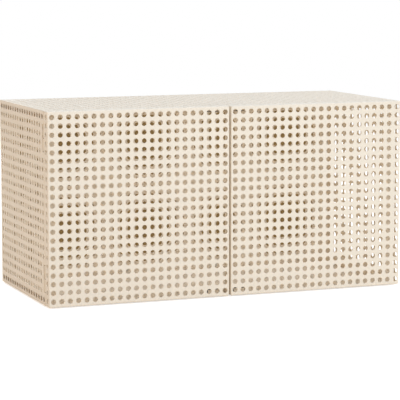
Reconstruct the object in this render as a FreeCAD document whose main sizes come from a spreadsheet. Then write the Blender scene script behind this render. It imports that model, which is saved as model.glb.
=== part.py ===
"""Record cabinet: a perforated sheet-steel case with two push-to-open doors.

Millimetres. X runs to the right, Y to the back and Z up. The origin is the middle of the footprint,
on the surface that the cabinet stands on. The doors close the side that faces -Y.
"""
import FreeCAD, Part
import math
import os
import re

Vector = FreeCAD.Vector
ALONG_X = FreeCAD.Rotation(Vector(0, 1, 0), 90)
ALONG_Y = FreeCAD.Rotation(Vector(1, 0, 0), -90)
ALONG_Z = FreeCAD.Rotation()

# Driving dimensions: each is set once, here.
SIZES = {
    # the whole cabinet
    "cabinet_width": 798,
    "cabinet_height": 402,
    "cabinet_depth": 360,
    # sheet metal
    "gauge": 1.2,
    "inner_bend": 0.8,
    "lip_width": 15,
    "side_lip": 26,
    # perforation, a square grid of round holes
    "hole_pitch": 18,
    "hole_radius": 5.4,
    "hole_land": 3.5,
    "flange_column": 11.5,
    # doors
    "door_depth": 23,
    "door_seam": 2,
    "door_gap": 4,
    # rails that box in the corners of the case
    "rail_width": 15,
    "rail_height": 18,
    # barrel hinges
    "barrel_radius": 4,
    "knuckle_length": 26.5,
    "hinge_from_end": 29,
    "hinge_setback": 6,
    "leaf_thickness": 1.5,
    "door_leaf_reach": 6,
    "body_leaf_reach": 12,
    "notch_depth": 11,
    "notch_play": 1.5,
    "pin_radius": 2,
    "pin_play": 0.05,
    "pin_recess": 0.5,
    "washer_thickness": 1,
    "washer_play": 0.05,
    # touch latches
    "latch_from_middle": 29.5,
    "latch_width": 25,
    "latch_height": 9.5,
    "latch_rise": 3.5,
    "latch_length": 38,
    "latch_play": 0.5,
    "ear_width": 8,
    "ear_height": 10,
    "ear_thickness": 3,
    "plunger_radius": 3.5,
    "plunger_length": 28,
    "plunger_play": 0.05,
    "plunger_height": 8,
    "plunger_gap": 0.3,
    "press_travel": 1.5,
    "magnet_radius": 2.6,
    "magnet_length": 2,
    "strike_height": 10,
    "strike_thickness": 1.5,
    "strike_foot": 12,
    # small screws of the latches
    "latch_screw_radius": 1.4,
    "latch_screw_head_radius": 2.6,
    "latch_screw_head_height": 1.4,
    "latch_screw_length": 3.8,
    # screws and nuts of the back panel
    "back_inset": 1,
    "back_corner": 3,
    "back_screw_inset": 7.5,
    "back_screw_radius": 1.5,
    "back_screw_length": 8,
    "back_screw_head_radius": 2.85,
    "back_screw_head_height": 1.65,
    "socket_radius": 1,
    "socket_depth": 0.9,
    "nut_radius": 2.5,
    "nut_length": 7,
    "nut_collar_radius": 3.3,
    "nut_collar_length": 2.5,
    "screw_play": 0.02,
    "hole_play": 0.05,
    # glides
    "glide_height": 3,
    "glide_radius": 12,
    "glide_inset": 38,
    "glide_stem_radius": 2.5,
    "glide_stem_length": 4,
}

# Places that follow from the driving dimensions, as spreadsheet formulas.
LAYOUT = {
    "outer_bend": "inner_bend + gauge",
    "half_width": "cabinet_width / 2",
    "base": "glide_height",
    "top": "base + cabinet_height",
    "middle": "base + cabinet_height / 2",
    "door_front": "-(cabinet_depth + back_screw_head_height) / 2",
    "door_back": "door_front + door_depth",
    "case_front": "door_back + door_seam",
    "back_face": "door_front + cabinet_depth",
    "case_back": "back_face - gauge",
    "case_length": "case_back - case_front",
    "door_width": "(cabinet_width - door_gap) / 2",
    "inner_half_width": "half_width - gauge",
    "hinge_x": "-(half_width - barrel_radius)",
    "hinge_y": "door_back + hinge_setback",
    "barrel_length": "2 * knuckle_length + washer_thickness + 2 * washer_play",
    "lower_hinge": "base + hinge_from_end",
    "upper_hinge": "top - hinge_from_end - barrel_length",
    "latch_left": "-(latch_from_middle + latch_width / 2)",
    "latch_bottom": "base + latch_rise",
    "plunger_front": "door_back + plunger_gap",
    "plunger_z": "base + plunger_height",
    "nut_front": "case_back - nut_length",
    # holes in a row and in a column, and the shift that keeps the back's screws midway between them
    "end_margin": "hole_radius + hole_land",
    "hole_columns": "floor((cabinet_width - 2 * end_margin) / hole_pitch) + 1",
    "hole_rows": "floor((cabinet_height - 2 * end_margin) / hole_pitch) + 1",
    "column_shift": "mod(hole_columns; 2) * hole_pitch / 2",
    "row_shift": "mod(hole_rows; 2) * hole_pitch / 2",
}


def write_sheet(doc, name, cells):
    sheet = doc.addObject("Spreadsheet::Sheet", name)
    for row, (alias, content) in enumerate(cells.items(), start=1):
        sheet.set(f"A{row}", alias)
        sheet.set(f"B{row}", str(content))
        sheet.setAlias(f"B{row}", alias)
    return sheet


def full_name(match):
    word = match.group(0)
    if word in SIZES:
        return f"sizes.{word}"
    return f"layout.{word}" if word in LAYOUT else word


def formula(text):
    """The expression with each size or place named in full, as its sheet and its alias."""
    return re.sub(r"[a-z_]+", full_name, text)


doc = FreeCAD.newDocument("record_cabinet")
sizes = write_sheet(doc, "sizes", SIZES)
doc.recompute()
layout = write_sheet(doc, "layout", {alias: f"={formula(text)}" for alias, text in LAYOUT.items()})
doc.recompute()


def value(alias):
    sheet = sizes if alias in SIZES else layout
    return float(sheet.get(alias))


# Solids whose sizes and places are bound to the sheets.

def place(solid, corner, rotation=ALONG_Z):
    solid.Placement = FreeCAD.Placement(Vector(), rotation)
    for axis, text in zip("xyz", corner):
        solid.setExpression(f"Placement.Base.{axis}", formula(text))


def box(name, low, size):
    """A box from its lowest corner and its three lengths."""
    solid = doc.addObject("Part::Box", name)
    for side, text in zip(("Length", "Width", "Height"), size):
        solid.setExpression(side, formula(text))
    place(solid, low)
    return solid


def rod(name, radius, length, start, rotation=ALONG_Z):
    solid = doc.addObject("Part::Cylinder", name)
    solid.setExpression("Radius", formula(radius))
    solid.setExpression("Height", formula(length))
    place(solid, start, rotation)
    return solid


def cut(name, base, tool):
    result = doc.addObject("Part::Cut", name)
    result.Base = base
    result.Tool = tool
    return result


def fuse(name, *solids):
    result = doc.addObject("Part::MultiFuse", name)
    result.Shapes = list(solids)
    return result


def mirror(name, source, normal, centre=Vector()):
    result = doc.addObject("Part::Mirroring", name)
    result.Source = source
    result.Normal = normal
    result.Base = centre
    return result


def across(name, source):
    """The same piece on the right of the cabinet."""
    return mirror(name, source, Vector(1, 0, 0))


def upside(name, source):
    """The same piece turned over about the cabinet's half height."""
    result = mirror(name, source, Vector(0, 0, 1))
    result.setExpression("Base.z", formula("middle"))
    return result


def round_edges(name, solid, radius, keep):
    """Rounds the edges for which keep(point in the middle of the edge, bounding box) holds."""
    doc.recompute()
    limits = solid.Shape.BoundBox
    rounded = doc.addObject("Part::Fillet", name)
    rounded.Base = solid
    rounded.Edges = [
        (number, radius, radius)
        for number, edge in enumerate(solid.Shape.Edges, start=1)
        if keep(edge.CenterOfMass, limits)
    ]
    return rounded


def clear_of(*open_faces):
    """A test that keeps the edges which lie on none of the open faces, such as '+y'."""

    def keep(point, limits):
        for sign, axis in open_faces:
            edge_of_box = getattr(limits, axis.upper() + ("Max" if sign == "+" else "Min"))
            if abs(getattr(point, axis) - edge_of_box) < value("gauge") / 10:
                return False
        return True

    return keep


def folded_sheet(name, low, size, *open_faces):
    """Sheet folded round the closed faces of a box, with the bends' inner and outer radii."""
    keep = clear_of(*open_faces)
    outside = round_edges(f"{name}_outside", box(f"{name}_block", low, size), value("outer_bend"), keep)
    inner_low = list(low)
    inner_size = list(size)
    for index, axis in enumerate("xyz"):
        starts_open = f"-{axis}" in open_faces
        ends_open = f"+{axis}" in open_faces
        shift = "- gauge" if starts_open else "+ gauge"
        inner_low[index] = f"{low[index]} {shift}"
        growth = (1 if starts_open else -1) + (1 if ends_open else -1)
        inner_size[index] = f"{size[index]} + {growth} * gauge"
    hollow_block = box(f"{name}_hollow_block", inner_low, inner_size)
    hollow = round_edges(f"{name}_hollow", hollow_block, value("inner_bend"), keep)
    return cut(f"{name}_folded", outside, hollow)


# Perforation: one compound of round cutters for each sheet, from the same sheet of sizes.

def grid(length):
    """How many holes fit along a length, with the least land at both ends."""
    margin = value("hole_radius") + value("hole_land")
    return math.floor((length - 2 * margin) / value("hole_pitch")) + 1


def centred(start, length):
    count = grid(length)
    first = start + (length - (count - 1) * value("hole_pitch")) / 2
    return [first + index * value("hole_pitch") for index in range(count)]


def from_edge(start, inset, length):
    """Positions that start at a set distance from an edge and run to the least land at the other."""
    room = length - inset - value("hole_radius") - value("hole_land")
    count = math.floor(room / value("hole_pitch")) + 1
    return [start + inset + index * value("hole_pitch") for index in range(count)]


def perforate(name, sheet, *patterns):
    """Punches the sheet last of all. Each pattern is points on its outer face and the way in from there."""
    overshoot = value("gauge") / 2
    length = value("gauge") + 2 * overshoot
    punches = doc.addObject("Part::Feature", f"{name}_punches")
    punches.Shape = Part.makeCompound([
        Part.makeCylinder(value("hole_radius"), length, point - inward * overshoot, inward)
        for points, inward in patterns
        for point in points
    ])
    return cut(name, sheet, punches)


ROWS = centred(value("base"), value("cabinet_height"))
CASE_COLUMNS = from_edge(value("case_front"), value("flange_column"), value("case_length"))
RIGHTWARDS = Vector(1, 0, 0)
BACKWARDS = Vector(0, 1, 0)
FORWARDS = Vector(0, -1, 0)
DOWNWARDS = Vector(0, 0, -1)

HINGES = {"lower": "lower_hinge", "upper": "upper_hinge"}
nodes = {}


def sub_part(name, solid):
    """Names a finished piece. Its label is the name of its file."""
    solid.Label = name
    nodes[name] = solid
    return solid


# Doors: trays folded from perforated sheet, with a column of holes in the hinge-side flange.

def make_doors():
    tray = folded_sheet(
        "door", ("-half_width", "door_front", "base"), ("door_width", "door_depth", "cabinet_height"), "+y")
    columns = centred(-value("half_width"), value("door_width"))
    face = [Vector(x, value("door_front"), z) for x in columns for z in ROWS]
    flange_y = value("door_front") + value("flange_column")
    flange = [Vector(-value("half_width"), flange_y, z) for z in ROWS]
    left = sub_part("left_door", perforate("left_door_solid", tray, (face, BACKWARDS), (flange, RIGHTWARDS)))
    sub_part("right_door", across("right_door_solid", left))


# Case: two sides and a top and bottom, all with lips at front and back, and a rail along each joint.

def near_a_notch(y, z):
    if y - value("hole_radius") > value("case_front") + value("notch_depth") + value("hole_land"):
        return False
    reach = value("hole_radius") + value("notch_play")
    for hinge in HINGES.values():
        if value(hinge) - reach < z < value(hinge) + value("barrel_length") + reach:
            return True
    return False


def make_sides():
    channel = folded_sheet(
        "side", ("-half_width", "case_front", "base"), ("side_lip", "case_length", "cabinet_height"),
        "+x", "-z", "+z")
    corner_reliefs = [
        box(f"{end}_lip_relief", ("-inner_half_width", "case_front - gauge", start),
            ("side_lip", "case_length + 2 * gauge", "lip_width + gauge"))
        for end, start in (("lower", "base - gauge"), ("upper", "top - lip_width"))
    ]
    notches = [
        box(f"{level}_hinge_notch", ("-half_width - gauge", "case_front - gauge", f"{start} - notch_play"),
            ("2 * barrel_radius + notch_play + gauge", "notch_depth + gauge", "barrel_length + 2 * notch_play"))
        for level, start in HINGES.items()
    ]
    nut_hole = rod("side_nut_hole", "nut_radius + hole_play", "3 * gauge",
                   ("-half_width + back_screw_inset", "case_back - 2 * gauge", SIDE_SCREW_ROW), ALONG_Y)
    nut_holes = (nut_hole, upside("upper_side_nut_hole", nut_hole))
    fitted = cut("side_fitted", channel, fuse("side_reliefs", *corner_reliefs, *notches, *nut_holes))
    points = [
        Vector(-value("half_width"), y, z) for y in CASE_COLUMNS for z in ROWS if not near_a_notch(y, z)
    ]
    left = sub_part("left_side", perforate("left_side_solid", fitted, (points, RIGHTWARDS)))
    sub_part("right_side", across("right_side_solid", left))


def latch_window(name, left_end):
    """The opening in a lip where a latch's nose comes through flush."""
    return box(name, (f"{left_end} - latch_play", "case_front - gauge", "latch_bottom - latch_play / 2"),
               ("latch_width + 2 * latch_play", "3 * gauge", "lip_width"))


def make_top_and_bottom():
    blank = folded_sheet(
        "bottom", ("-inner_half_width", "case_front", "base"),
        ("2 * inner_half_width", "case_length", "lip_width"), "+z", "-x", "+x")
    openings = [latch_window("left_latch_window", "latch_left")]
    openings += [
        rod(f"ear_hole_{index}", "latch_screw_radius + hole_play", "3 * gauge",
            (x, "case_front - gauge", "plunger_z"), ALONG_Y)
        for index, x in enumerate(EAR_SCREW_COLUMNS)
    ]
    openings += [
        rod(f"end_nut_hole_{index}", "nut_radius + hole_play", "3 * gauge",
            (x, "case_back - 2 * gauge", "base + back_screw_inset"), ALONG_Y)
        for index, x in enumerate(END_SCREW_COLUMNS)
    ]
    left_openings = fuse("left_openings", *openings)
    all_openings = fuse("lip_openings", left_openings, across("right_openings", left_openings))
    fitted = cut("lipped_tray", blank, all_openings)
    stem_holes = fuse("stem_holes", *[
        rod(f"stem_hole_{index}", "glide_stem_radius + hole_play", "3 * gauge", (x, y, "base - gauge"))
        for index, (x, y) in enumerate(GLIDE_PLACES.values())
    ])
    sub_part("bottom_panel", cut("bottom_panel_solid", fitted, stem_holes))
    columns = centred(-value("half_width"), value("cabinet_width"))
    points = [Vector(x, y, value("top")) for x in columns for y in CASE_COLUMNS]
    sub_part("top_panel", perforate("top_panel_solid", upside("plain_top", fitted), (points, DOWNWARDS)))


def make_corner_rails():
    """Channels that lie on the top or bottom and close against a side, so that each joint is a box."""
    rail = folded_sheet(
        "rail", ("-inner_half_width", "case_front + outer_bend", "base + gauge"),
        ("rail_width", "case_length - 2 * outer_bend", "rail_height"), "-x", "-y", "+y")
    left = sub_part("lower_left_corner_rail", rail)
    right = sub_part("lower_right_corner_rail", across("lower_right_rail_solid", left))
    sub_part("upper_left_corner_rail", upside("upper_left_rail_solid", left))
    sub_part("upper_right_corner_rail", upside("upper_right_rail_solid", right))


# Back panel: one flat perforated sheet, screwed over the rear lips.

SIDE_SCREW_ROW = "middle - 5 * hole_pitch - row_shift"
END_SCREW_COLUMNS = ("-18 * hole_pitch - column_shift", "-6 * hole_pitch - column_shift")
LOWER_LEFT_SCREWS = [
    ("-half_width + back_screw_inset", SIDE_SCREW_ROW),
    *[(x, "base + back_screw_inset") for x in END_SCREW_COLUMNS],
]


def back_set(name, make_one):
    """One solid for each screw of the back panel, mirrored from the lower left quarter."""
    quarter = fuse(f"{name}_quarter", *[
        make_one(f"{name}_{index}", x, z) for index, (x, z) in enumerate(LOWER_LEFT_SCREWS)])
    half = fuse(f"{name}_half", quarter, across(f"{name}_right_quarter", quarter))
    return fuse(f"{name}_set", half, upside(f"{name}_upper_half", half))


def back_screw_hole(name, x, z):
    return rod(name, "back_screw_radius + hole_play", "3 * gauge", (x, "case_back - gauge", z), ALONG_Y)


def back_screw(name, x, z):
    shank = rod(f"{name}_shank", "back_screw_radius", "back_screw_length",
                (x, "back_face - back_screw_length", z), ALONG_Y)
    head = rod(f"{name}_head", "back_screw_head_radius", "back_screw_head_height", (x, "back_face", z), ALONG_Y)
    domed = round_edges(f"{name}_dome", head, value("back_screw_head_height") / 2,
                        lambda point, limits: point.y > limits.YMax - value("back_screw_head_height") / 10)
    socket = rod(f"{name}_socket", "socket_radius", "2 * socket_depth",
                 (x, "back_face + back_screw_head_height - socket_depth", z), ALONG_Y)
    return cut(f"{name}_screw", fuse(f"{name}_blank", shank, domed), socket)


def back_nut(name, x, z):
    body = rod(f"{name}_body", "nut_radius", "nut_length", (x, "nut_front", z), ALONG_Y)
    collar = rod(f"{name}_collar", "nut_collar_radius", "nut_collar_length",
                 (x, "case_back - gauge - nut_collar_length", z), ALONG_Y)
    bore = rod(f"{name}_bore", "back_screw_radius + screw_play", "nut_length + 2 * gauge",
               (x, "nut_front - gauge", z), ALONG_Y)
    return cut(f"{name}_nut", fuse(f"{name}_blank", body, collar), bore)


def make_back():
    sheet = box("back_sheet", ("-half_width + back_inset", "case_back", "base + back_inset"),
                ("cabinet_width - 2 * back_inset", "gauge", "cabinet_height - 2 * back_inset"))
    rounded = round_edges("back_corners", sheet, value("back_corner"),
                          lambda point, limits: abs(point.y - limits.Center.y) < value("gauge") / 10)
    drilled = cut("back_drilled", rounded, back_set("back_hole", back_screw_hole))
    columns = centred(-value("half_width"), value("cabinet_width"))
    points = [Vector(x, value("back_face"), z) for x in columns for z in ROWS]
    sub_part("back_panel", perforate("back_panel_solid", drilled, (points, FORWARDS)))
    sub_part("back_screws", back_set("back_screw", back_screw))
    sub_part("back_rivet_nuts", back_set("back_nut", back_nut))


# Hinges: a knuckle on the case, a knuckle on the door, a washer between them and a fixed pin.

def make_hinge(level, start):
    axis = ("hinge_x", "hinge_y")
    split = f"{start} + knuckle_length + washer_play"
    door_start = f"{split} + washer_thickness + washer_play"
    bore = rod(f"{level}_bore", "pin_radius + pin_play", "barrel_length + 2 * gauge", (*axis, f"{start} - gauge"))
    leaf_x = "-inner_half_width"
    body_barrel = rod(f"{level}_body_barrel", "barrel_radius", "knuckle_length", (*axis, start))
    body_leaf = box(f"{level}_body_leaf", (leaf_x, "hinge_y", start),
                    ("leaf_thickness", "notch_depth + case_front - hinge_y + body_leaf_reach", "knuckle_length"))
    door_barrel = rod(f"{level}_door_barrel", "barrel_radius", "knuckle_length", (*axis, door_start))
    door_leaf = box(f"{level}_door_leaf", (leaf_x, "door_back - door_leaf_reach", door_start),
                    ("leaf_thickness", "hinge_setback + door_leaf_reach", "knuckle_length"))
    pieces = {
        "body_knuckle": cut(f"{level}_body_knuckle_solid",
                            fuse(f"{level}_body_blank", body_barrel, body_leaf), bore),
        "door_knuckle": cut(f"{level}_door_knuckle_solid",
                            fuse(f"{level}_door_blank", door_barrel, door_leaf), bore),
        "hinge_pin": round_edges(
            f"{level}_pin_solid",
            rod(f"{level}_pin_rod", "pin_radius", "barrel_length - pin_recess", (*axis, start)),
            value("pin_radius") / 4,
            lambda point, limits: point.z > limits.ZMax - value("pin_radius") / 10),
    }
    for name, solid in pieces.items():
        sub_part(f"{level}_left_{name}", solid)
        sub_part(f"{level}_right_{name}", across(f"{level}_right_{name}_solid", solid))
    washer_disc = rod(f"{level}_washer_disc", "barrel_radius", "washer_thickness", (*axis, split))
    return cut(f"{level}_washer", washer_disc, bore)


def make_hinges():
    washers = [make_hinge(level, start) for level, start in HINGES.items()]
    left = fuse("left_washers", *washers)
    sub_part("hinge_washers", fuse("all_washers", left, across("right_washers", left)))


# Touch latches: a housing behind each lip, a sprung plunger with a magnet, and a strike on the door.

EAR_SCREW_COLUMNS = ("latch_left - ear_width / 2", "latch_left + latch_width + ear_width / 2")
PLUNGER_X = "-latch_from_middle"


def make_latch():
    block = box("latch_block", ("latch_left", "case_front", "latch_bottom"),
                ("latch_width", "latch_length", "latch_height"))
    ears = box("latch_ears", ("latch_left - ear_width", "case_front + gauge", "plunger_z - ear_height / 2"),
               ("latch_width + 2 * ear_width", "ear_thickness", "ear_height"))
    bores = [rod("plunger_bore", "plunger_radius + plunger_play", "plunger_length + press_travel + 2 * gauge",
                 (PLUNGER_X, "case_front - gauge", "plunger_z"), ALONG_Y)]
    bores += [
        rod(f"ear_bore_{index}", "latch_screw_radius + screw_play", "latch_screw_length",
            (x, "case_front", "plunger_z"), ALONG_Y)
        for index, x in enumerate(EAR_SCREW_COLUMNS)
    ]
    housing = cut("latch_housing", fuse("latch_blank", block, ears), fuse("latch_bores", *bores))
    plunger_rod = rod("plunger_rod", "plunger_radius", "plunger_length",
                      (PLUNGER_X, "plunger_front", "plunger_z"), ALONG_Y)
    seat = rod("magnet_seat", "magnet_radius + screw_play", "magnet_length + gauge",
               (PLUNGER_X, "plunger_front - gauge", "plunger_z"), ALONG_Y)
    plunger = cut("latch_plunger", plunger_rod, seat)
    magnet = rod("latch_magnet", "magnet_radius", "magnet_length",
                 (PLUNGER_X, "plunger_front", "plunger_z"), ALONG_Y)
    plate = box("strike_plate", ("latch_left", "door_back - strike_thickness", "base + gauge"),
                ("latch_width", "strike_thickness", "strike_height"))
    foot = box("strike_foot_plate", ("latch_left", "door_back - strike_foot", "base + gauge"),
               ("latch_width", "strike_foot", "strike_thickness"))
    strike = fuse("latch_strike", plate, foot)
    screws = fuse("latch_screw_pair", *[latch_screw(index, x) for index, x in enumerate(EAR_SCREW_COLUMNS)])
    return {"latch_housing": housing, "latch_plunger": plunger, "latch_magnet": magnet,
            "latch_strike": strike, "latch_screws": screws}


def latch_screw(index, x):
    head = rod(f"latch_screw_head_{index}", "latch_screw_head_radius", "latch_screw_head_height",
               (x, "case_front - latch_screw_head_height", "plunger_z"), ALONG_Y)
    domed = round_edges(f"latch_screw_dome_{index}", head, value("latch_screw_head_height") / 2,
                        lambda point, limits: point.y < limits.YMin + value("latch_screw_head_height") / 10)
    shank = rod(f"latch_screw_shank_{index}", "latch_screw_radius", "latch_screw_length",
                (x, "case_front", "plunger_z"), ALONG_Y)
    return fuse(f"latch_screw_{index}", domed, shank)


def make_latches():
    for name, lower_left in make_latch().items():
        sub_part(f"lower_left_{name}", lower_left)
        lower_right = sub_part(f"lower_right_{name}", across(f"lower_right_{name}_solid", lower_left))
        sub_part(f"upper_left_{name}", upside(f"upper_left_{name}_solid", lower_left))
        sub_part(f"upper_right_{name}", upside(f"upper_right_{name}_solid", lower_right))


# Glides: low plastic discs with a stem pressed into the bottom panel.

GLIDE_PLACES = {
    f"{row}_{side}_glide": (f"{sign}(half_width - glide_inset)", y)
    for row, y in (("front", "case_front + glide_inset"), ("rear", "case_back - glide_inset"))
    for side, sign in (("left", "-1 * "), ("right", ""))
}


def make_glides():
    for name, (x, y) in GLIDE_PLACES.items():
        disc = rod(f"{name}_disc", "glide_radius", "base", (x, y, "base - glide_height"))
        softened = round_edges(f"{name}_softened", disc, value("glide_height") / 4,
                               lambda point, limits: point.z < limits.ZMin + value("glide_height") / 10)
        stem = rod(f"{name}_stem", "glide_stem_radius", "glide_stem_length", (x, y, "base"))
        sub_part(name, fuse(f"{name}_solid", softened, stem))


make_doors()
make_sides()
make_top_and_bottom()
make_corner_rails()
make_back()
make_hinges()
make_latches()
make_glides()
doc.recompute()

faulty = [thing.Name for thing in doc.Objects if "Invalid" in thing.State or "Error" in thing.State]
if faulty:
    raise RuntimeError(f"these objects failed: {', '.join(faulty)}")
for name, solid in nodes.items():
    if solid.Shape.isNull() or not solid.Shape.isValid() or not solid.Shape.Solids:
        raise RuntimeError(f"{name} has no valid shape")

os.makedirs("parts", exist_ok=True)
for name, solid in nodes.items():
    solid.Shape.exportStep(f"parts/{solid.Label}.step")
    print(f"{name}: {len(solid.Shape.Solids)} solid(s), {solid.Shape.Volume / 1000:.2f} cm3")
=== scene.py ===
# %% [markdown]
# # A record cabinet in perforated sheet steel
#
# This lesson dresses a finished CAD model of a low record cabinet. The real one is folded from 1.2 mm
# steel sheet that is punched with round holes, then powder coated cream. The CAD model fixes every
# size. What it lacks is what the eye looks for: punched edges that the coat has rounded, the coat's own
# skin, zinc on the screws and grain on the moulded latches. Those are made here, one step at a time.

# %% Load the frame
import math
from functools import partial

import bmesh
import bpy
from mathutils import Matrix, Vector


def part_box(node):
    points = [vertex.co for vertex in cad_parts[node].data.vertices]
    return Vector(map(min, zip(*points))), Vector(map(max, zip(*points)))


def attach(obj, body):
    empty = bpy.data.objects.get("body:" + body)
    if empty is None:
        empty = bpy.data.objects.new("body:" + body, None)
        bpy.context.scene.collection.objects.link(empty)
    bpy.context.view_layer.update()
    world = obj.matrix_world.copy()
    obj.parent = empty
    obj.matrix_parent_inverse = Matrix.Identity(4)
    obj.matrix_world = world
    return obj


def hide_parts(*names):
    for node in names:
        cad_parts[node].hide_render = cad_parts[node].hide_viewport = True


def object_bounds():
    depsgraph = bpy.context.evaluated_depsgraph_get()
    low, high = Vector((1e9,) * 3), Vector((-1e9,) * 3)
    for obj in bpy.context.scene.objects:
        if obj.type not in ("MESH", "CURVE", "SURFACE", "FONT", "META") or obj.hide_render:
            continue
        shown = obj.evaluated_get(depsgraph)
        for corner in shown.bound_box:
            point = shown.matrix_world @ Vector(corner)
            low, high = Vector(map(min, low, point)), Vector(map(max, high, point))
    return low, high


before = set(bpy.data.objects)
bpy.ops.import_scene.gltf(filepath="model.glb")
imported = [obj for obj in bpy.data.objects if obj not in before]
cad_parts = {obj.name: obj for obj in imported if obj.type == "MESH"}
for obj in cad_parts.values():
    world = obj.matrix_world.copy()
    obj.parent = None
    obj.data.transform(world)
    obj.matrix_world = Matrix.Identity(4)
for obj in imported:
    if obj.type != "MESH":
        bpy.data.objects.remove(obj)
cad_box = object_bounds()
scene = bpy.context.scene
print("pieces in the frame:", len(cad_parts))

# %% [markdown]
# ## Sizes
#
# Blender works in metres and a workshop drawing in millimetres, so every size below is a number of
# millimetres times MM. The overall places come from the frame itself: the box of a CAD node gives its
# faces, and nothing is fitted by eye.

# %% Sizes of the sheet metal
MM = 0.001
GAUGE = 1.2 * MM
INNER_BEND = 0.8 * MM
OUTER_BEND = INNER_BEND + GAUGE
LIP = 15 * MM
SIDE_LIP = 26 * MM
MARGIN = 0.5 * MM
COATED_EDGE = 0.3 * MM

PITCH = 18 * MM
HOLE_ROWS = 22
HOLE_RADIUS = 5.4 * MM
FLANGE_COLUMN = 11.5 * MM

door_low, door_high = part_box("left_door")
side_low, side_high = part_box("left_side")
DOOR_WIDTH, DOOR_DEPTH, HEIGHT = door_high - door_low
CASE_LENGTH = side_high.y - side_low.y
HALF_WIDTH = -side_low.x
print(f"door {DOOR_WIDTH / MM:.1f} x {HEIGHT / MM:.1f} mm, case {CASE_LENGTH / MM:.1f} mm deep")

# %% [markdown]
# ## Helpers for node trees
#
# A colour on a paint card or a screen is sRGB, while shaders add light up in linear values, so one
# function turns a hex code into the linear colour. Another adds a node, sets it and links it in one call.
# An input takes a value, a socket or simply another node, which keeps each tree short enough to read.

# %% Helpers for colours and nodes
def colour(code):
    """The linear RGBA of an sRGB hex code."""

    def linear(value):
        return value / 12.92 if value <= 0.04045 else ((value + 0.055) / 1.055) ** 2.4

    channels = [int(code[start:start + 2], 16) / 255 for start in (0, 2, 4)]
    return (*map(linear, channels), 1)


def wire(node, inputs):
    """Sets inputs. Each takes a value, an output socket, or a node, which stands for its first output."""
    for name, value in inputs.items():
        if isinstance(value, bpy.types.Node):
            value = value.outputs[0]
        if isinstance(value, bpy.types.NodeSocket):
            node.id_data.links.new(value, node.inputs[name])
        else:
            node.inputs[name].default_value = value


def add(tree, kind, inputs=None, **settings):
    """Adds a node with its settings and its links."""
    node = tree.nodes.new(kind)
    for name, value in settings.items():
        setattr(node, name, value)
    wire(node, inputs or {})
    return node


def new_shader(name, **principled):
    """A material, its tree and its main shader, with that shader's inputs set."""
    material = bpy.data.materials.new(name)
    material.use_nodes = True
    tree = material.node_tree
    shader = tree.nodes["Principled BSDF"]
    wire(shader, {socket.replace("_", " "): value for socket, value in principled.items()})
    return material, tree, shader


# %% [markdown]
# ## A finish is tone, gloss and grain
#
# No sheet or moulding is one flat colour. Its tone drifts a little from place to place, some patches are
# glossier than others, and its surface has a grain. A noise drives each of these. It is read from Object
# coordinates, which are metres on the piece itself, so the size of its lumps can be given in millimetres.
# Every finish of the cabinet is then one call.

# %% A finish of drifting tone and gloss, with bumps
# a Mix node has sockets for each kind of data, and these are the ones for colours
TONE_LOW, TONE_HIGH, TONE_RESULT = 6, 7, 2


def new_finish(name, tones, gloss, grains, detail=2.0, **principled):
    """Tones and gloss are each (low, high, size of a patch), and grains are (size, depth), finest first."""
    material, tree, shader = new_shader(name, **principled)
    where = add(tree, "ShaderNodeTexCoord").outputs["Object"]
    dark, light, size = tones
    drift = add(tree, "ShaderNodeTexNoise", {"Vector": where, "Scale": 1 / size, "Detail": detail})
    tone = add(tree, "ShaderNodeMix", {
        "Factor": drift, TONE_LOW: colour(dark), TONE_HIGH: colour(light)}, data_type="RGBA")
    smooth, rough, size = gloss
    patches = add(tree, "ShaderNodeTexNoise", {"Vector": where, "Scale": 1 / size, "Detail": detail})
    roughness = add(tree, "ShaderNodeMapRange", {"Value": patches, "To Min": smooth, "To Max": rough})
    below = {}
    for size, depth in grains:
        height = add(tree, "ShaderNodeTexNoise", {"Vector": where, "Scale": 1 / size})
        layer = add(tree, "ShaderNodeBump", {"Height": height, "Distance": depth, "Strength": 1.0, **below})
        below = {"Normal": layer}
    wire(shader, {"Base Color": tone.outputs[TONE_RESULT], "Roughness": roughness, **below})
    return material


# %% [markdown]
# ## Powder coat
#
# Polyester powder is sprayed on dry and baked, so it melts into a skin about 0.08 mm thick. It is matt
# to satin, and it never lies quite flat: grains of 0.5 mm or so leave a fine orange peel. The bumps below
# have that grain, with a slow swell on top, and are drawn coarser than life so that they still show from
# across a room. The tone of a baked cream also shifts a little, over about the length of a hand.

# %% Material: powder-coated steel
ORANGE_PEEL = 1.2 * MM
SWELL = 14 * MM
TONE_DRIFT = 160 * MM
coat = new_finish(
    "cream polyester powder coat", IOR=1.5,
    tones=("EDE3D3", "F1E8D9", TONE_DRIFT), gloss=(0.42, 0.54, SWELL),
    grains=[(ORANGE_PEEL, 0.02 * MM), (SWELL, 0.03 * MM)])
print("made the finish:", coat.name)

# %% [markdown]
# ## A punched field, by Geometry Nodes
#
# Hundreds of equal holes on a square grid are a job for instances. Cutting them with booleans would give
# the same shape, but it is slower and leaves long thin triangles. The tree below works in four steps:
# one cell round a hole, a grid of such cells, the field's border, and the rim that closes the slab.
#
# The cells start from a small curve, the section of a punched edge from the front of the sheet to its
# back. A punch leaves the edge sharp, and the coat rounds it.

# %% The coated edge of a hole, as a profile curve
EDGE_TURN = COATED_EDGE * (1 - math.sqrt(0.5))


def edge_profile():
    """The section of a punched edge: x is the distance out from the hole's wall, and -y is the depth."""
    stations = (
        (2 * COATED_EDGE, 0),
        (COATED_EDGE, 0),
        (EDGE_TURN, EDGE_TURN),
        (0, COATED_EDGE),
        (0, GAUGE - COATED_EDGE),
        (COATED_EDGE, GAUGE),
        (2 * COATED_EDGE, GAUGE),
    )
    curve = bpy.data.curves.new("punched edge", "CURVE")
    curve.dimensions = "3D"
    spline = curve.splines.new("POLY")
    spline.points.add(len(stations) - 1)
    for point, (out, depth) in zip(spline.points, stations):
        point.co = (out, -depth, 0, 1)
    profile = bpy.data.objects.new("punched edge", curve)
    scene.collection.objects.link(profile)
    return profile


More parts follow.
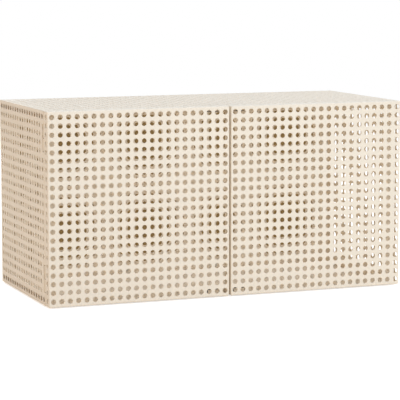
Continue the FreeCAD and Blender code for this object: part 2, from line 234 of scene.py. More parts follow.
# %% [markdown]
# ### Step 1: one cell
#
# The section is swept round the hole. Its outermost ring is then pushed out to a square, so that cells
# meet edge to edge. Sides has to be a multiple of eight, which puts a point on each corner of the square.

# %% Geometry Nodes: one cell
def one_cell(node, given):
    """A hole's coated edge in the middle of a square of the sheet."""
    section = node("GeometryNodeObjectInfo", {"Object": given["Edge Profile"]}).outputs["Geometry"]
    hole = node("GeometryNodeCurvePrimitiveCircle", {
        "Resolution": given["Sides"], "Radius": given["Hole Radius"]})
    ring = node("GeometryNodeCurveToMesh", {"Curve": hole, "Profile Curve": section})

    spot = node("GeometryNodeInputPosition")
    flat = node("ShaderNodeVectorMath", {0: spot, 1: (1, 1, 0)}, operation="MULTIPLY")
    radius = node("ShaderNodeVectorMath", {0: flat}, operation="LENGTH").outputs["Value"]
    last_but_one = node("ShaderNodeMath", {0: given["Hole Radius"], 1: 1.5 * COATED_EDGE}, operation="ADD")
    outermost = node("ShaderNodeMath", {0: radius, 1: last_but_one}, operation="GREATER_THAN")

    distances = node("ShaderNodeVectorMath", {0: flat}, operation="ABSOLUTE")
    reach = node("ShaderNodeSeparateXYZ", {0: distances}).outputs
    widest = node("ShaderNodeMath", {0: reach["X"], 1: reach["Y"]}, operation="MAXIMUM")
    half_pitch = node("ShaderNodeMath", {0: given["Pitch"], 1: 2.0}, operation="DIVIDE")
    stretch = node("ShaderNodeMath", {0: half_pitch, 1: widest}, operation="DIVIDE")
    widening = node("ShaderNodeCombineXYZ", {"X": stretch, "Y": stretch, "Z": 1.0})
    square = node("ShaderNodeVectorMath", {0: spot, 1: widening}, operation="MULTIPLY")
    return node("GeometryNodeSetPosition", {"Geometry": ring, "Selection": outermost, "Position": square})


# %% [markdown]
# ### Step 2: the grid
#
# The points are numbered from 0, and each number is turned into a column and a row. A cell stands on each
# point. Once the cells are realised and merged, the lands between the holes are one skin.

# %% Geometry Nodes: a grid of cells
MERGE = 0.01 * MM


def grid_of(node, given, cell):
    """The cell on every point of the grid, as one skin."""
    pitch = given["Pitch"]
    count = node("ShaderNodeMath", {0: given["Columns"], 1: given["Rows"]}, operation="MULTIPLY")
    points = node("GeometryNodePoints", {"Count": count})
    number = node("GeometryNodeInputIndex")
    column = node("ShaderNodeMath", {0: number, 1: given["Columns"]}, operation="MODULO")
    quotient = node("ShaderNodeMath", {0: number, 1: given["Columns"]}, operation="DIVIDE")
    row = node("ShaderNodeMath", {0: quotient}, operation="FLOOR")
    x = node("ShaderNodeMath", {0: column, 1: pitch, 2: given["First X"]}, operation="MULTIPLY_ADD")
    y = node("ShaderNodeMath", {0: row, 1: pitch, 2: given["First Y"]}, operation="MULTIPLY_ADD")
    place = node("ShaderNodeCombineXYZ", {"X": x, "Y": y})
    grid = node("GeometryNodeSetPosition", {"Geometry": points, "Position": place})
    cells = node("GeometryNodeInstanceOnPoints", {"Points": grid, "Instance": cell})
    realised = node("GeometryNodeRealizeInstances", {"Geometry": cells})
    return node("GeometryNodeMergeByDistance", {"Geometry": realised, "Distance": MERGE})


# %% [markdown]
# ### Step 3: the border
#
# The grid ends half a pitch beyond its last holes, but the flat metal ends where the sheet bends. So the
# points on each of the grid's four outer lines are moved to the line where the sheet's flat face ends.

# %% Geometry Nodes: the border
def bordered(node, given, skin):
    """The skin with its outer lines moved to the limits of the flat metal."""
    spot = node("GeometryNodeInputPosition")
    place = node("ShaderNodeSeparateXYZ", {0: spot}).outputs
    target = {"Z": place["Z"]}
    for axis, count, low, high in (("X", "Columns", "Left", "Right"), ("Y", "Rows", "Bottom", "Top")):
        pitch, first = given["Pitch"], given[f"First {axis}"]
        start = node("ShaderNodeMath", {0: pitch, 1: -0.5, 2: first}, operation="MULTIPLY_ADD")
        end = node("ShaderNodeMath", {0: pitch, 1: given[count], 2: start}, operation="MULTIPLY_ADD")
        target[axis] = place[axis]
        for line, limit in ((start, given[low]), (end, given[high])):
            touches = node("ShaderNodeMath", {0: place[axis], 1: line, 2: MERGE}, operation="COMPARE")
            target[axis] = node("GeometryNodeSwitch", {
                "Switch": touches, "False": target[axis], "True": limit}, input_type="FLOAT")
    moved = node("ShaderNodeCombineXYZ", target)
    return node("GeometryNodeSetPosition", {"Geometry": skin, "Position": moved})


# %% [markdown]
# ### Step 4: the rim
#
# An edge that has a face on one side only is on the border. The front's border edges are extruded through
# the gauge and merged with the back's, which makes the slab a closed solid.

# %% Geometry Nodes: the rim
MORE_THAN_ONE = 1.5


def closed_slab(node, given, skin):
    """The skin with a rim from its front to its back."""
    spot = node("GeometryNodeInputPosition")
    depth = node("ShaderNodeSeparateXYZ", {0: spot}).outputs["Z"]
    half_gauge = node("ShaderNodeMath", {0: given["Gauge"], 1: 2.0}, operation="DIVIDE")
    in_front = node("ShaderNodeMath", {0: depth, 1: half_gauge}, operation="LESS_THAN")
    faces = node("GeometryNodeInputMeshEdgeNeighbors")
    open_edge = node("ShaderNodeMath", {0: faces, 1: MORE_THAN_ONE}, operation="LESS_THAN")
    chosen = node("ShaderNodeMath", {0: open_edge, 1: in_front}, operation="MULTIPLY")
    inward = node("ShaderNodeCombineXYZ", {"Z": given["Gauge"]})
    rim = node("GeometryNodeExtrudeMesh", {
        "Mesh": skin, "Selection": chosen, "Offset": inward, "Offset Scale": 1.0}, mode="EDGES")
    return node("GeometryNodeMergeByDistance", {"Geometry": rim, "Distance": MERGE})


# %% Geometry Nodes: the whole tree
FIELD_INPUTS = {
    "Int": ("Columns", "Rows", "Sides"),
    "Float": ("Pitch", "Hole Radius", "Gauge", "First X", "First Y", "Left", "Right", "Bottom", "Top"),
    "Object": ("Edge Profile",),
    "Material": ("Finish",),
}


def perforation_tree():
    """The whole tree, with its sizes as inputs."""
    tree = bpy.data.node_groups.new("Punched field", "GeometryNodeTree")
    tree.interface.new_socket("Geometry", in_out="OUTPUT", socket_type="NodeSocketGeometry")
    for kind, names in FIELD_INPUTS.items():
        for name in names:
            tree.interface.new_socket(name, in_out="INPUT", socket_type=f"NodeSocket{kind}")
    node = partial(add, tree)
    given = node("NodeGroupInput").outputs
    skin = grid_of(node, given, one_cell(node, given))
    slab = closed_slab(node, given, bordered(node, given, skin))
    realised = node("GeometryNodeRealizeInstances", {"Geometry": slab})
    finished = node("GeometryNodeSetMaterial", {"Geometry": realised, "Material": given["Finish"]})
    node("NodeGroupOutput", {"Geometry": finished})
    return tree


punched_edge = edge_profile()
perforation = perforation_tree()
SOCKETS = {item.name: item.identifier for item in perforation.interface.items_tree}
print("the punched field has", len(perforation.nodes), "nodes")

# %% [markdown]
# ## From a field to a folded sheet
#
# Every sheet of the cabinet is a flat face plus bends, flanges and free edges. Each gets axes of its own:
# across and up its face, and inward through its thickness, so that one set of functions serves a door
# and a lid alike. Bends and flanges are a profile carried along a path, and each is a closed shell that
# meets the punched slab face to face, on the line where the flat metal ends.

# %% A sheet's axes and its shells
WELD = MERGE / 10


def sheet_axes(origin, across, up, inward):
    """The frame of a sheet, whose first two axes lie in its face."""
    axes = Matrix((across, up, inward)).transposed().to_4x4()
    axes.translation = origin
    return axes


def add_shell(sheet, shell, axes):
    """Closes up a shell, turns its faces outwards and adds it to the sheet."""
    bmesh.ops.remove_doubles(shell, verts=shell.verts, dist=WELD)
    shell.transform(axes)
    bmesh.ops.recalc_face_normals(shell, faces=shell.faces)
    mesh = bpy.data.meshes.new("shell")
    shell.to_mesh(mesh)
    shell.free()
    sheet.from_mesh(mesh)
    bpy.data.meshes.remove(mesh)


# %% Shells: a punched slab, a plain plate and a profile carried along a path
FINE_SIDES = 24
COARSE_SIDES = 16


def add_field(sheet, axes, columns, rows, first, low, high, sides=FINE_SIDES):
    """Adds a punched slab. first is the first hole, and low and high are opposite corners."""
    carrier = bpy.data.objects.new("field", bpy.data.meshes.new("field"))
    scene.collection.objects.link(carrier)
    modifier = carrier.modifiers.new("Punched field", "NODES")
    modifier.node_group = perforation
    inputs = {
        "Columns": columns, "Rows": rows, "Sides": sides, "Pitch": PITCH, "Hole Radius": HOLE_RADIUS,
        "Gauge": GAUGE, "First X": first[0], "First Y": first[1], "Left": low[0], "Right": high[0],
        "Bottom": low[1], "Top": high[1], "Edge Profile": punched_edge, "Finish": coat,
    }
    for name, value in inputs.items():
        modifier[SOCKETS[name]] = value
    evaluated = carrier.evaluated_get(bpy.context.evaluated_depsgraph_get())
    mesh = bpy.data.meshes.new_from_object(evaluated)
    shell = bmesh.new()
    shell.from_mesh(mesh)
    bpy.data.objects.remove(carrier)
    bpy.data.meshes.remove(mesh)
    add_shell(sheet, shell, axes)


def add_plate(sheet, axes, outline):
    """Adds a flat plate of the sheet's gauge, from its outline."""
    shell = bmesh.new()
    rings = [[shell.verts.new((u, v, depth)) for u, v in outline] for depth in (0, GAUGE)]
    for ring in rings:
        shell.faces.new(ring)
    for index, (front, back) in enumerate(zip(*rings)):
        shell.faces.new((rings[0][index - 1], front, back, rings[1][index - 1]))
    add_shell(sheet, shell, axes)


def add_sweep(sheet, axes, profile, path, closed=False):
    """Carries a profile of (inset, depth) points along a path of (point, way out) pairs."""
    shell = bmesh.new()
    rings = [
        [shell.verts.new((*(point - inset * outward), depth)) for inset, depth in profile]
        for point, outward in path
    ]
    followers = rings[1:] + rings[:1] if closed else rings[1:]
    for ring, follower in zip(rings, followers):
        for index in range(len(profile)):
            shell.faces.new((ring[index - 1], ring[index], follower[index], follower[index - 1]))
    if not closed:
        shell.faces.new(rings[0])
        shell.faces.new(rings[-1])
    add_shell(sheet, shell, axes)


# %% [markdown]
# ## Profiles and paths
#
# A profile is a list of (inset, depth) points: inset from the outline of the face, and depth below it. A
# bend is two quarter turns about one centre, the outer one a gauge wider than the inner one. A sheared
# edge is sharp until the coat softens it. A path is a list of points on the outline, each with the way
# that is outwards there.

# %% Profiles of a bend, a flange and a free edge
BEND_STEPS = 6


def quarter(radius, backwards=False):
    """A bend's quarter turn, from the face's side to the flange's side, about the bend's centre."""
    turns = [math.radians(90 * step / BEND_STEPS) for step in range(BEND_STEPS + 1)]
    points = [(OUTER_BEND - radius * math.sin(t), OUTER_BEND - radius * math.cos(t)) for t in turns]
    return points[::-1] if backwards else points


FLAT_FROM = OUTER_BEND + MARGIN
BEND = [
    (FLAT_FROM, 0), *quarter(OUTER_BEND), (0, FLAT_FROM),
    (GAUGE, FLAT_FROM), *quarter(INNER_BEND, backwards=True), (FLAT_FROM, GAUGE),
]
FREE_EDGE = [
    (COATED_EDGE, 0), (EDGE_TURN, EDGE_TURN), (0, COATED_EDGE),
    (0, GAUGE - COATED_EDGE), (EDGE_TURN, GAUGE - EDGE_TURN), (COATED_EDGE, GAUGE),
]


def border(inset):
    """A flat strip along a free edge, as wide as the inset."""
    return [(inset, 0), *FREE_EDGE, (inset, GAUGE)]


def flange(start, end):
    """A flange between two depths, with a free edge at its end."""
    edge = [(depth, end - inset) for inset, depth in FREE_EDGE]
    return [(0, start), *edge, (GAUGE, start)]


def lip(end):
    """A bend and its flange in one piece."""
    edge = [(depth, end - inset) for inset, depth in FREE_EDGE]
    return [
        (FLAT_FROM, 0), *quarter(OUTER_BEND), *edge,
        *quarter(INNER_BEND, backwards=True), (FLAT_FROM, GAUGE),
    ]


# where a lip is cut away, only the part of its bend that lies within the gauge is left
CUT_BACK_REACH = OUTER_BEND - math.sqrt(OUTER_BEND ** 2 - INNER_BEND ** 2)
CUT_BACK_BEND = [
    (FLAT_FROM, 0), *[(inset, depth) for inset, depth in quarter(OUTER_BEND) if depth < GAUGE],
    (CUT_BACK_REACH, GAUGE), (FLAT_FROM, GAUGE),
]


# %% Paths round a face and along one side of it
CORNER_STEPS = 6


def around(width, height, radius):
    """Round a rectangle with rounded corners. Left open, the path lacks the bottom side only."""
    path = []
    corners = ((width - radius, radius), (width - radius, height - radius),
               (radius, height - radius), (radius, radius))
    for number, corner in enumerate(corners, start=-1):
        for step in range(CORNER_STEPS + 1):
            angle = math.radians(90 * (number + step / CORNER_STEPS))
            outward = Vector((math.cos(angle), math.sin(angle)))
            path.append((Vector(corner) + radius * outward, outward))
    return path


def along(start, end, outward):
    """A straight path."""
    return [(Vector(start), Vector(outward)), (Vector(end), Vector(outward))]


def between(start, end, gaps):
    """The stretches of a line that are left between gaps."""
    ends = [start, *(place for gap in gaps for place in gap), end]
    return list(zip(ends[::2], ends[1::2]))


print("a bend's profile has", len(BEND), "points and a lip's", len(lip(LIP)))

# %% [markdown]
# ## Shading a folded sheet
#
# Smooth shading averages the faces round each point, so a wide flat land next to a narrow rounded edge
# would look inflated. Weighted normals let the larger face win, which keeps lands flat and edges soft.

# %% A finished sheet as an object
CREASE = math.radians(50)
LARGEST_FACE_WINS = 100


def finish_sheet(sheet, name, node, body):
    """Makes a sheet's shells one piece, which rides on a body in place of a CAD node."""
    mesh = bpy.data.meshes.new(name)
    sheet.to_mesh(mesh)
    sheet.free()
    mesh.materials.clear()
    mesh.materials.append(coat)
    mesh.shade_smooth()
    mesh.set_sharp_from_angle(angle=CREASE)
    piece = bpy.data.objects.new(name, mesh)
    scene.collection.objects.link(piece)
    modifier = piece.modifiers.new("Weighted normals", "WEIGHTED_NORMAL")
    modifier.keep_sharp = True
    modifier.weight = LARGEST_FACE_WINS
    evaluated = piece.evaluated_get(bpy.context.evaluated_depsgraph_get())
    piece.data = bpy.data.meshes.new_from_object(evaluated)
    piece.modifiers.clear()
    bpy.data.meshes.remove(mesh)
    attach(piece, body)
    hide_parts(node)
    triangles = sum(len(face.vertices) - 2 for face in piece.data.polygons)
    print(f"{name}: {triangles} triangles")


# %% [markdown]
# ## The doors
#
# Each door is a shallow tray: a face of 22 by 22 holes with its edges turned in all round, and one more
# column of holes in the flange beside the hinges. That flange is a punched field of its own, so the other
# three follow a path that is left open on the hinge side. The corners' radius is the width of the bend
# and its margin, so the flat field ends exactly at the corners' centres. The right door is the same tray
# with one axis turned to the other side, so both are made by one loop.

# %% Doors
DOOR_COLUMNS = 22
FIRST_ROW = 12 * MM
FIRST_DOOR_COLUMN = 9.5 * MM
UP = Vector((0, 0, 1))
BACK = Vector((0, 1, 0))
RIGHT = Vector((1, 0, 0))
TOWARDS_MIDDLE = {"left": RIGHT, "right": -RIGHT}


def make_door(side, towards_middle):
    """One door. Its outline is drawn from its lower hinge-side corner, up and then towards the middle."""
    low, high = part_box(f"{side}_door")
    corner = Vector((low.x if side == "left" else high.x, low.y, low.z))
    axes = sheet_axes(corner, UP, towards_middle, BACK)
    flat_end = (HEIGHT - FLAT_FROM, DOOR_WIDTH - FLAT_FROM)
    sheet = bmesh.new()
    add_field(sheet, axes, HOLE_ROWS, DOOR_COLUMNS, (FIRST_ROW, FIRST_DOOR_COLUMN),
              (FLAT_FROM, FLAT_FROM), flat_end)
    rim = around(HEIGHT, DOOR_WIDTH, FLAT_FROM)
    add_sweep(sheet, axes, BEND, rim, closed=True)
    add_sweep(sheet, axes, flange(FLAT_FROM, DOOR_DEPTH), rim)
    edge_start = DOOR_DEPTH - MARGIN
    hinge_edge = along((FLAT_FROM, 0), (HEIGHT - FLAT_FROM, 0), (0, -1))
    add_sweep(sheet, axes, flange(edge_start, DOOR_DEPTH), hinge_edge)
    flange_axes = sheet_axes(corner, UP, BACK, towards_middle)
    add_field(sheet, flange_axes, HOLE_ROWS, 1, (FIRST_ROW, FLANGE_COLUMN),
              (FLAT_FROM, FLAT_FROM), (HEIGHT - FLAT_FROM, edge_start))
    finish_sheet(sheet, f"{side}_door_sheet", f"{side}_door", f"{side}_door")


for side, towards_middle in TOWARDS_MIDDLE.items():
    make_door(side, towards_middle)

# %% [markdown]
# ## The sides
#
# A side is one sheet with a lip at the front and the back. Its front edge is notched for the hinges, and
# the first column has no holes beside the notches, so that column is made in stretches. Beyond a notch
# the lip goes on as a strip. The lips stop short of the top and the bottom, which have lips of their own.

# %% Where the hinges interrupt a side
NOTCH_DEPTH = 11 * MM
NOTCH_REACH = 9.5 * MM
NOTCH_PLAY = 1.5 * MM
ROWS_BESIDE_NOTCH = 4
FIRST_ROW_BESIDE = {"lower": 1, "upper": HOLE_ROWS - 1 - ROWS_BESIDE_NOTCH}


def hinge_places(side):
    """The notches of a side, and the zones beside them that are left plain, as (low, high) pairs."""
    notches, zones = [], []
    for level, first_row in FIRST_ROW_BESIDE.items():
        knuckles_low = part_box(f"{level}_{side}_body_knuckle")[0].z - side_low.z
        knuckles_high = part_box(f"{level}_{side}_door_knuckle")[1].z - side_low.z
        notches.append((knuckles_low - NOTCH_PLAY, knuckles_high + NOTCH_PLAY))
        rows = (first_row, first_row + ROWS_BESIDE_NOTCH)
        zones.append(tuple(FIRST_ROW + PITCH * (row - 0.5) for row in rows))
    return notches, zones


notches, zones = hinge_places("left")
for low, high in notches:
    print(f"notch from {low / MM:.1f} to {high / MM:.1f} mm")

# %% Sides
SIDE_COLUMNS = 18


def make_side(side, inward):
    """One side. Its outline is drawn from its lower front corner, back and then up."""
    outer = -HALF_WIDTH if side == "left" else HALF_WIDTH
    axes = sheet_axes(Vector((outer, side_low.y, side_low.z)), BACK, UP, inward)
    second_column = FLANGE_COLUMN + PITCH
    column_end = FLANGE_COLUMN + PITCH / 2
    sheet = bmesh.new()
    add_field(sheet, axes, SIDE_COLUMNS - 1, HOLE_ROWS, (second_column, FIRST_ROW),
              (column_end, MARGIN), (CASE_LENGTH - FLAT_FROM, HEIGHT - MARGIN))

    # the first column, its notches and the front lip
    notches, zones = hinge_places(side)
    for notch, zone in zip(notches, zones):
        add_plate(sheet, axes, [
            (FLAT_FROM, zone[0]), (column_end, zone[0]), (column_end, zone[1]), (FLAT_FROM, zone[1]),
            (FLAT_FROM, notch[1]), (NOTCH_DEPTH, notch[1]), (NOTCH_DEPTH, notch[0]), (FLAT_FROM, notch[0]),
        ])
        add_sweep(sheet, axes, flange(NOTCH_REACH, SIDE_LIP), along((0, notch[0]), (0, notch[1]), (-1, 0)))
    for start, end in between(MARGIN, HEIGHT - MARGIN, zones):
        rows = round((end - start) / PITCH)
        first = FIRST_ROW + PITCH * math.ceil((start - FIRST_ROW) / PITCH)
        add_field(sheet, axes, 1, rows, (FLANGE_COLUMN, first), (FLAT_FROM, start), (column_end, end))
    for start, end in between(LIP, HEIGHT - LIP, notches):
        add_sweep(sheet, axes, lip(SIDE_LIP), along((0, start), (0, end), (-1, 0)))

    # the rear lip, the bends beyond the lips' ends and the cut edges
    add_sweep(sheet, axes, lip(SIDE_LIP), along((CASE_LENGTH, LIP), (CASE_LENGTH, HEIGHT - LIP), (1, 0)))
    for start, end in ((0, LIP), (HEIGHT - LIP, HEIGHT)):
        add_sweep(sheet, axes, CUT_BACK_BEND, along((0, start), (0, end), (-1, 0)))
        add_sweep(sheet, axes, CUT_BACK_BEND, along((CASE_LENGTH, start), (CASE_LENGTH, end), (1, 0)))
    for level, outward in ((0, (0, -1)), (HEIGHT, (0, 1))):
        ends = (FLAT_FROM, level), (CASE_LENGTH - FLAT_FROM, level)
        add_sweep(sheet, axes, border(MARGIN), along(*ends, outward))
    finish_sheet(sheet, f"{side}_side_sheet", f"{side}_side", "cabinet")


for side, inward in TOWARDS_MIDDLE.items():
    make_side(side, inward)

# %% [markdown]
# ## The top and the bottom
#
# Both are channels that fit between the sides, one with its face up and punched, the other with its face
# down and plain. Each is folded at the front and the back, and its cut ends are welded to the sides. The
# front lip has two openings where the noses of the latches show, so it is carried along in stretches, and
# only a narrow ledge of it is left beside each opening.

# %% Top and bottom
TOP_COLUMNS = 44
FIRST_TOP_COLUMN = 10.8 * MM
LATCH_CENTRE = 29.5 * MM
WINDOW_HALF_WIDTH = 13 * MM
WINDOW_LEDGE = 3.25 * MM


def make_channel(node, corner, inward, punched):
    """The top or the bottom. Its outline is drawn from its left front corner, right and then back."""
    low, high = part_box(node)
    width = high.x - low.x
    axes = sheet_axes(corner, RIGHT, BACK, inward)
    flat_low = (MARGIN, FLAT_FROM)
    flat_high = (width - MARGIN, CASE_LENGTH - FLAT_FROM)
    sheet = bmesh.new()
    if punched:
        add_field(sheet, axes, TOP_COLUMNS, SIDE_COLUMNS, (FIRST_TOP_COLUMN, FLANGE_COLUMN),
                  flat_low, flat_high, COARSE_SIDES)
    else:
        add_plate(sheet, axes, [
            flat_low, (flat_high[0], flat_low[1]), flat_high, (flat_low[0], flat_high[1])])
    for end, outward in ((0, (-1, 0)), (width, (1, 0))):
        add_sweep(sheet, axes, border(MARGIN), along((end, flat_low[1]), (end, flat_high[1]), outward))
    add_sweep(sheet, axes, lip(LIP), along((0, CASE_LENGTH), (width, CASE_LENGTH), (0, 1)))

    # the front lip, with the openings for the latches
    middles = (width / 2 - LATCH_CENTRE, width / 2 + LATCH_CENTRE)
    windows = [(middle - WINDOW_HALF_WIDTH, middle + WINDOW_HALF_WIDTH) for middle in middles]
    for start, end in between(0, width, windows):
        add_sweep(sheet, axes, lip(LIP), along((start, 0), (end, 0), (0, -1)))
    for start, end in windows:
        add_sweep(sheet, axes, lip(WINDOW_LEDGE), along((start, 0), (end, 0), (0, -1)))
    finish_sheet(sheet, f"{node}_sheet", node, "cabinet")


DOWN = -UP
top_low, top_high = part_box("top_panel")
bottom_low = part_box("bottom_panel")[0]
make_channel("top_panel", Vector((top_low.x, top_low.y, top_high.z)), DOWN, punched=True)
make_channel("bottom_panel", bottom_low, UP, punched=False)

# %% [markdown]
# ## The back
#
# The back is a flat sheet with rounded corners, screwed over the rear lips. Its corner radius is also the
# width of its plain border, so the punched field ends exactly at the corners' centres.

# %% Back
BACK_CORNER = 3 * MM
FIRST_BACK_HOLE = 11 * MM
back_low, back_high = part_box("back_panel")


def make_back():
    """The back, with its outer face as the front of the sheet."""
    width, _, height = back_high - back_low
    axes = sheet_axes(Vector((back_low.x, back_high.y, back_low.z)), RIGHT, UP, -BACK)
    sheet = bmesh.new()
    add_field(sheet, axes, TOP_COLUMNS, HOLE_ROWS, (FIRST_BACK_HOLE, FIRST_BACK_HOLE),
              (BACK_CORNER, BACK_CORNER), (width - BACK_CORNER, height - BACK_CORNER), COARSE_SIDES)
    add_sweep(sheet, axes, border(BACK_CORNER), around(width, height, BACK_CORNER), closed=True)
    finish_sheet(sheet, "back_panel_sheet", "back_panel", "cabinet")


make_back()
bpy.data.objects.remove(punched_edge)

# %% [markdown]
# ## Materials of the fittings
#
# The screws and rivet nuts are zinc-plated steel, which is a metal with a soft, slightly cloudy shine. The
# pins are ground steel, the latches moulded acetal with the fine grain of a spark-eroded mould, the
# magnets nickel plated, the washers black nylon and the glides polyethylene. The knuckles, the strikes and
# the rails in the corners are coated with the sheets.

# %% Materials: metals and plastics
METAL_GRAIN, METAL_DEPTH = 0.6 * MM, 0.01 * MM
MOULDED_PATCH, MOULDED_DEPTH = 20 * MM, 0.03 * MM


def metal(name, dark, light, smooth, rough, cloud):
    """A metal whose tone and gloss drift together, in clouds."""
    return new_finish(name, (dark, light, cloud), (smooth, rough, cloud), [(METAL_GRAIN, METAL_DEPTH)],
                      detail=3.0, Metallic=1.0)


def plastic(name, dark, light, smooth, rough, grain, ior):
    """A moulded plastic with the grain of its mould."""
    return new_finish(name, (dark, light, MOULDED_PATCH), (smooth, rough, MOULDED_PATCH),
                      [(grain, MOULDED_DEPTH)], IOR=ior)


zinc = metal("zinc-plated steel", "A9ABA6", "C6C7C1", 0.28, 0.42, cloud=6 * MM)
pin_steel = metal("ground steel", "9C9B98", "B4B3AF", 0.16, 0.26, cloud=3 * MM)
nickel = metal("bright nickel", "B7B1A6", "CEC9BE", 0.10, 0.20, cloud=4 * MM)
acetal = plastic("dark acetal", "332C27", "3E362F", 0.42, 0.55, grain=0.5 * MM, ior=1.48)
nylon = plastic("black nylon", "1A1816", "25221F", 0.45, 0.6, grain=0.5 * MM, ior=1.53)
polyethylene = plastic("grey polyethylene", "C2BBAE", "CCC6BA", 0.5, 0.65, grain=0.6 * MM, ior=1.51)

# %% Each fitting in its finish
FINISHES = {
    "back_screws": zinc, "rivet_nuts": zinc, "latch_screws": zinc, "hinge_pin": pin_steel,
    "washers": nylon, "housing": acetal, "plunger": acetal, "magnet": nickel, "glide": polyethylene,
    "strike": coat, "knuckle": coat, "corner_rail": coat,
}
dressed = 0
for node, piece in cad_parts.items():
    for ending, finish in FINISHES.items():
        if node.endswith(ending):
            piece.data.materials.clear()
            piece.data.materials.append(finish)
            dressed += 1
print("fittings in their finish:", dressed)

# %% [markdown]
# ## Floor and board
#
# The cabinet stands on a pale floor. Close behind it stands a card of painted shade, the brown of a wall in
# shadow, which shows as a dark weave behind the doors. Light Path tells what kind of ray meets a surface.
# The camera and reflections see the floor nearly white, while the light that it sends back up is warm,
# which tints the case from below. The painted shade is there for the camera alone and only from the
# front: no light stops at the card, so the inside is lit through the holes of the back as well, and it is
# never in the way of a view from behind.

# %% Materials: floor and board
FLOOR_GLOW = 0.6


def pale_floor():
    """A warm floor, which is nearly white and glows a little for the camera and in reflections."""
    material, tree, shader = new_shader("pale floor", Roughness=0.9, Specular_IOR_Level=0.1)
    rays = add(tree, "ShaderNodeLightPath").outputs
    camera_ray, glossy_ray = rays["Is Camera Ray"], rays["Is Glossy Ray"]
    seen = add(tree, "ShaderNodeMath", {0: camera_ray, 1: glossy_ray}, operation="MAXIMUM")
    tone = add(tree, "ShaderNodeMix", {
        "Factor": seen, TONE_LOW: colour("DFCFB6"), TONE_HIGH: colour("F4F4F4")}, data_type="RGBA")
    glow = add(tree, "ShaderNodeMath", {0: seen, 1: FLOOR_GLOW}, operation="MULTIPLY")
    wire(shader, {
        "Base Color": tone.outputs[TONE_RESULT],
        "Emission Color": colour("FFFFFF"), "Emission Strength": glow})
    return material


def painted_shade_finish():
    """Painted shade of a wall in shadow close behind the cabinet, which only the camera meets, and only on
    the side that faces the cabinet.
    """
    # 8A744C is painted shade: the dark brown of a wall in shadow just behind the back, seen through its
    #                          holes
    material, tree, shader = new_shader("painted wall shade", Base_Color=colour("8A744C"), Roughness=0.85)
    camera_ray = add(tree, "ShaderNodeLightPath").outputs["Is Camera Ray"]
    behind = add(tree, "ShaderNodeNewGeometry").outputs["Backfacing"]
    shown = add(tree, "ShaderNodeMath", {0: camera_ray, 1: behind}, operation="SUBTRACT")
    clear = add(tree, "ShaderNodeBsdfTransparent")
    mixed = add(tree, "ShaderNodeMixShader", {0: shown, 1: clear, 2: shader})
    wire(tree.nodes["Material Output"], {"Surface": mixed})
    return material


# %% Floor and board
FLOOR_HALF = 4.0
BOARD_GAP = 6 * MM
BOARD_INSET = 6 * MM


def add_stage(name, corners, material):
    """A flat piece of scenery, which isn't part of the cabinet."""
    mesh = bpy.data.meshes.new(name)
    mesh.from_pydata(corners, [], [tuple(range(len(corners)))])
    mesh.materials.append(material)
    stage = bpy.data.objects.new(name, mesh)
    scene.collection.objects.link(stage)


add_stage("floor", [
    (-FLOOR_HALF, -FLOOR_HALF, 0), (FLOOR_HALF, -FLOOR_HALF, 0),
    (FLOOR_HALF, FLOOR_HALF, 0), (-FLOOR_HALF, FLOOR_HALF, 0)], pale_floor())
board_x = HALF_WIDTH - BOARD_INSET
board_y = cad_box[1][1] + BOARD_GAP
board_low, board_top = back_low.z + BOARD_INSET, back_high.z - BOARD_INSET
# this card carries painted shade, standing in for a wall in shadow behind the cabinet
add_stage("board", [
    (-board_x, board_y, board_low), (board_x, board_y, board_low),
    (board_x, board_y, board_top), (-board_x, board_y, board_top)], painted_shade_finish())
print(f"the board stands {BOARD_GAP / MM:.0f} mm behind the cabinet")

# %% [markdown]
# ## Light
#
# Soft lamps all round give the even light of a product shot: cool from the front and above, warm from
# the left, nearly neutral from the right, and a low one behind that shines in through the back. The
# world adds a plain level, and the camera and reflections see it as white. Much of the light inside the
# case has bounced off the coat many times, so diffuse light gets twice the usual number of bounces.

# %% World and lamps
WORLD_LEVEL = 0.52
DIFFUSE_BOUNCES = 8


def soft_world():
    """A soft white world, which the camera and reflections see as plain white."""
    world = bpy.data.worlds.new("studio")
    world.use_nodes = True
    tree = world.node_tree
    rays = add(tree, "ShaderNodeLightPath").outputs
    camera_ray, glossy_ray = rays["Is Camera Ray"], rays["Is Glossy Ray"]
    seen = add(tree, "ShaderNodeMath", {0: camera_ray, 1: glossy_ray}, operation="MAXIMUM")
    seen = add(tree, "ShaderNodeMath", {0: seen, 1: rays["Is Transmission Ray"]}, operation="MAXIMUM")
    level = add(tree, "ShaderNodeMapRange", {"Value": seen, "To Min": WORLD_LEVEL, "To Max": 1.0})
    wire(tree.nodes["Background"], {"Color": colour("FFFFFF"), "Strength": level})
    scene.world = world


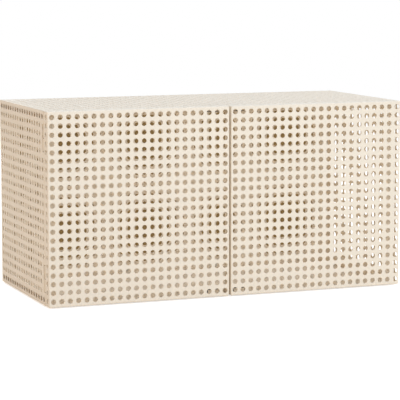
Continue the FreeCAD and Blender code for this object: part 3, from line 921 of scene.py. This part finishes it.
def add_lamp(name, place, size, power, tint):
    """A soft rectangular lamp that faces the middle of the cabinet."""
    light = bpy.data.lights.new(name, "AREA")
    light.shape = "RECTANGLE"
    light.size, light.size_y = size
    light.energy = power
    light.color = colour(tint)[:3]
    lamp = bpy.data.objects.new(name, light)
    lamp.location = place
    lamp.rotation_euler = (CENTRE - Vector(place)).to_track_quat("-Z", "Y").to_euler()
    scene.collection.objects.link(lamp)


CENTRE = Vector((0, 0, HEIGHT / 2))
soft_world()
add_lamp("front softbox", (0.55, -3.0, 1.3), (2.4, 1.8), 50, "E8F2FF")
add_lamp("left softbox", (-3.0, -0.6, 1.0), (1.6, 1.6), 13.5, "FFCC98")
add_lamp("right softbox", (3.0, 0.6, 0.9), (1.6, 1.6), 31, "FFFAF2")
add_lamp("rear softbox", (0, 3.0, 0.35), (0.8, 0.6), 28, "FFFCF8")
add_lamp("overhead softbox", (0, 0.2, 2.8), (2.6, 2.0), 15, "D2E8FF")
scene.cycles.diffuse_bounces = DIFFUSE_BOUNCES
print("lamps:", len(bpy.data.lights))

# %% [markdown]
# ## Camera
#
# A product shot is taken from far away with a long lens, which keeps the box's edges near parallel. The
# camera stands to the left of the cabinet and a little above it, and looks down by about seven degrees.

# %% Camera
IMAGE_WIDTH = 400
SENSOR = 36.0
FOCAL_PIXELS = 1882.7
CAMERA_PLACE = (-1.4893, -3.8168, 0.7062)
YAW, PITCH_DOWN, ROLL = -21.35, 7.238, 0.032
NEAREST, FARTHEST = 0.05, 50


def add_camera():
    data = bpy.data.cameras.new("camera")
    data.sensor_width = SENSOR
    data.lens = FOCAL_PIXELS / IMAGE_WIDTH * SENSOR
    data.clip_start, data.clip_end = NEAREST, FARTHEST
    camera = bpy.data.objects.new("camera", data)
    camera.location = CAMERA_PLACE
    camera.rotation_euler = (math.radians(90 - PITCH_DOWN), math.radians(ROLL), math.radians(YAW))
    scene.collection.objects.link(camera)
    scene.camera = camera
    print(f"lens {data.lens:.0f} mm")


add_camera()
scene.view_settings.view_transform = "Standard"
